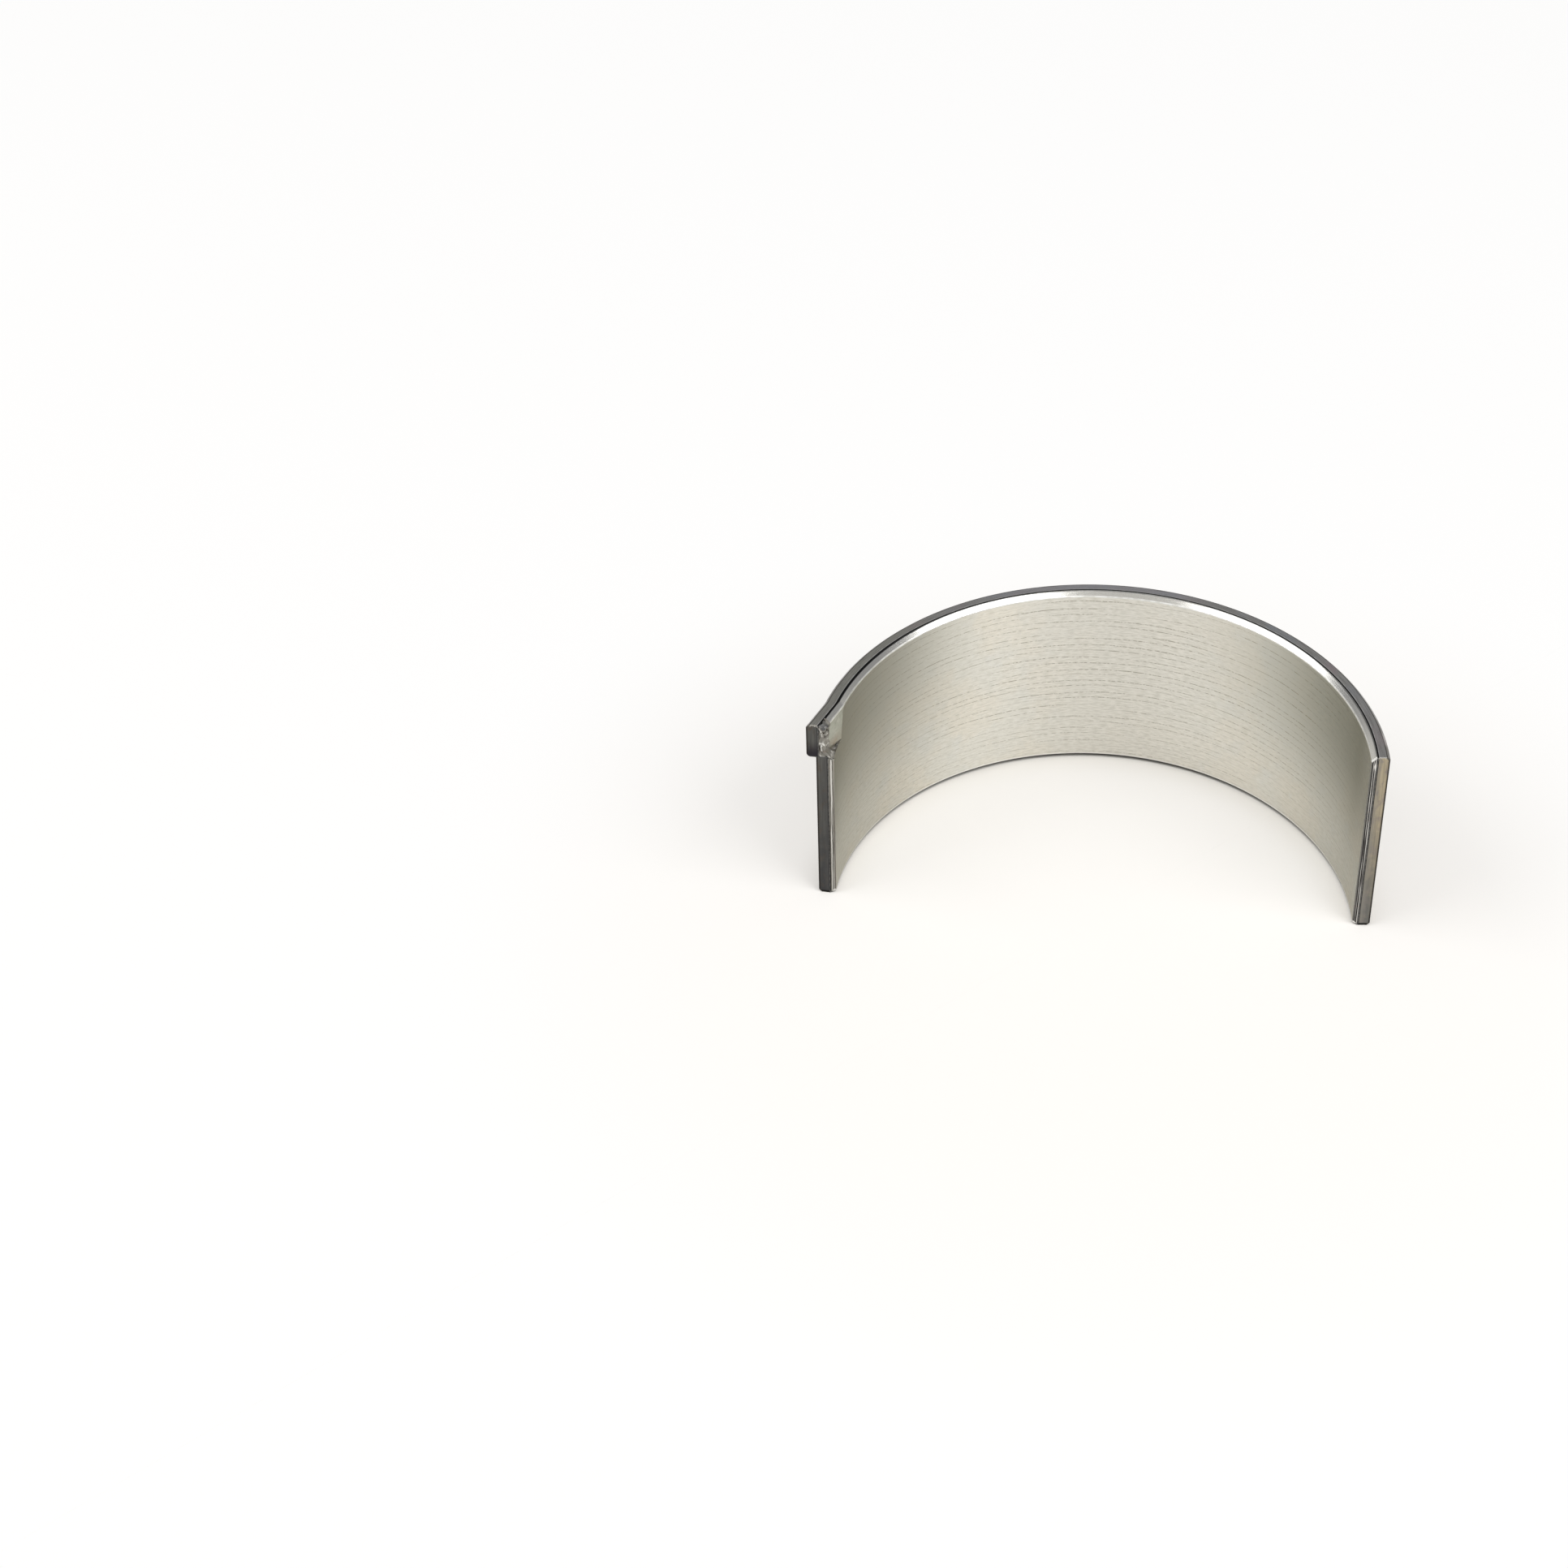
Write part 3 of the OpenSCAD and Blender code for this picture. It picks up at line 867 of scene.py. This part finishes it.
BARE_SPOT = bare_spot()
for finish in (rolled_back(), turned_steel_end(),
               sheared_joint("tang_joint_face", colour(0.06, 0.06, 0.062), colour(0.13, 0.128, 0.117),
                             colour(0.105, 0.085, 0.068), 2.0, FLANK_Z),
               sheared_joint("plain_joint_face", colour(0.16, 0.16, 0.15), colour(0.48, 0.41, 0.285),
                             colour(0.26, 0.225, 0.215), 6.0),
               BARE_SPOT):
    steel.data.materials.append(finish)
for finish in (bored_lining(), turned_lining_end(), torn_lining(), BARE_SPOT, pressed_pocket()):
    lining.data.materials.append(finish)

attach(steel, "root")
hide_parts("steel_back")
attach(lining, "root")
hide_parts("bearing_lining")


# Half the floor's width in metres, and its share of its own white beside the shell, around it and far off
FLOOR_HALF = 3.0
FLOOR_GLOW = 0.46
ROUND_GLOW = 0.82
FAR_GLOW = 0.62


def pale_floor():
    """A wide level floor of plain white, lit from above and a little bright of itself where it is seen.

    Painted shade darkens it in the narrow gap under the shell's edges, and it is whiter away from the shell.
    """
    corners = [(x * FLOOR_HALF, y * FLOOR_HALF, 0) for x, y in ((-1, -1), (1, -1), (1, 1), (-1, 1))]
    mesh = bpy.data.meshes.new("floor")
    mesh.from_pydata(corners, [], [(0, 1, 2, 3)])
    piece = bpy.data.objects.new("floor", mesh)
    bpy.context.scene.collection.objects.link(piece)
    material = bpy.data.materials.new("white_floor")
    material.use_nodes = True
    tree = material.node_tree
    shader = tree.nodes["Principled BSDF"]
    shader.inputs["Roughness"].default_value = 0.9
    shader.inputs["Specular IOR Level"].default_value = 0.1
    seen = add(tree, "ShaderNodeLightPath").outputs
    looks = calc(tree, "MAXIMUM", calc(tree, "MAXIMUM", seen["Is Camera Ray"], seen["Is Glossy Ray"]),
                 seen["Is Transmission Ray"])
    clear = add(tree, "ShaderNodeAmbientOcclusion", {"samples": 8}, Distance=0.004).outputs["AO"]
    # Painted shade: the floor's colour darkens where the shell hems it in.
    pale = tint(tree, ramp(tree, clear, 0.15, 0.5), colour(0.3, 0.29, 0.275), colour(0.93, 0.91, 0.88))
    tree.links.new(pale, shader.inputs["Base Color"])
    looks = calc(tree, "MULTIPLY", looks, ramp(tree, clear, 0.35, 0.95))
    at = add(tree, "ShaderNodeTexCoord").outputs["Object"]
    away = add(tree, "ShaderNodeVectorMath", {"operation": "LENGTH"}, in_0=at).outputs["Value"]
    clear_of = ramp(tree, away, 0.022, 0.06)
    whiter = tint(tree, clear_of, colour(0.985, 0.965, 0.935), colour(1.0, 1.0, 1.0))
    glow = add(tree, "ShaderNodeEmission", Color=whiter, Strength=1.0)
    share = calc(tree, "MINIMUM", ramp(tree, away, 0.022, 0.06, FLOOR_GLOW, ROUND_GLOW),
                 ramp(tree, away, 0.8, 2.8, ROUND_GLOW, FAR_GLOW))
    both = add(tree, "ShaderNodeMixShader", Fac=calc(tree, "MULTIPLY", looks, share), in_1=shader.outputs[0],
               in_2=glow.outputs[0])
    tree.links.new(both.outputs[0], tree.nodes["Material Output"].inputs["Surface"])
    mesh.materials.append(material)


def soft_box(name, azimuth, elevation, distance, size, watts):
    """A soft lamp that looks at the shell, placed by its azimuth from the front and its elevation."""
    a, e = math.radians(azimuth), math.radians(elevation)
    lamp = bpy.data.lights.new(name, "AREA")
    lamp.shape = "RECTANGLE"
    lamp.size, lamp.size_y = size
    lamp.energy = watts
    thing = bpy.data.objects.new(name, lamp)
    bpy.context.scene.collection.objects.link(thing)
    back = np.array([math.sin(a) * math.cos(e), -math.cos(a) * math.cos(e), math.sin(e)])
    side = np.array([math.cos(a), math.sin(a), 0.0])
    frame_of(thing, back * distance + [0, 0.01, 0.01], side, np.cross(back, side), back)


def frame_of(thing, at, x, y, z):
    """Sets an object's axes and place."""
    turn = np.eye(4)
    turn[:3] = np.stack([x, y, z, at], 1)
    thing.matrix_world = Matrix(turn.tolist())


def studio():
    """Soft boxes left, right and overhead, and a room that darkens from its horizon up."""
    pale_floor()
    soft_box("left_box", -76.5, 43, 0.6, (0.468, 0.36), 1.58)
    soft_box("right_box", 59.5, 43, 0.6, (0.439, 0.36), 2.0)
    soft_box("top_box", 0, 89, 0.9, (0.8, 0.8), 1.0)
    world = bpy.data.worlds.new("room")
    bpy.context.scene.world = world
    world.use_nodes = True
    tree = world.node_tree
    way = add(tree, "ShaderNodeSeparateXYZ", Vector=add(tree, "ShaderNodeTexCoord").outputs["Generated"])
    behind = ramp(tree, way.outputs[1], -0.6, 0.2)
    above = tint(tree, behind, colour(0.58, 0.57, 0.55), colour(0.28, 0.28, 0.285))
    room = tint(tree, ramp(tree, way.outputs[2], 0.05, 0.4), colour(0.76, 0.75, 0.72), above)
    tree.links.new(room, tree.nodes["Background"].inputs["Color"])
    tree.nodes["Background"].inputs["Strength"].default_value = 1.0


# The camera's sensor in millimetres, and its focal length and the picture's width in pixels
SENSOR = 36.0
FOCAL_PX = 3855.93
FRAME_PX = 1932


def camera():
    """The viewing angle: place, pitch, roll and yaw about the shell, with the lens for a square picture."""
    pitch, roll, yaw = 0.69196, -0.03135, -0.13927
    at = np.array([1.876, -198.33, 178.97]) * MM
    level = np.array([math.cos(yaw), -math.sin(yaw), 0.0])
    ahead = np.array([math.sin(yaw) * math.cos(pitch), math.cos(yaw) * math.cos(pitch), -math.sin(pitch)])
    above = np.cross(level, ahead)
    x = math.cos(roll) * level + math.sin(roll) * above
    y = -math.sin(roll) * level + math.cos(roll) * above
    data = bpy.data.cameras.new("camera")
    data.sensor_width = SENSOR
    data.lens = SENSOR * FOCAL_PX / FRAME_PX
    data.clip_start, data.clip_end = 0.01, 20.0
    thing = bpy.data.objects.new("camera", data)
    bpy.context.scene.collection.objects.link(thing)
    frame_of(thing, at, x, y, -ahead)
    bpy.context.scene.camera = thing


studio()
camera()
bpy.context.scene.view_settings.view_transform = "Standard"
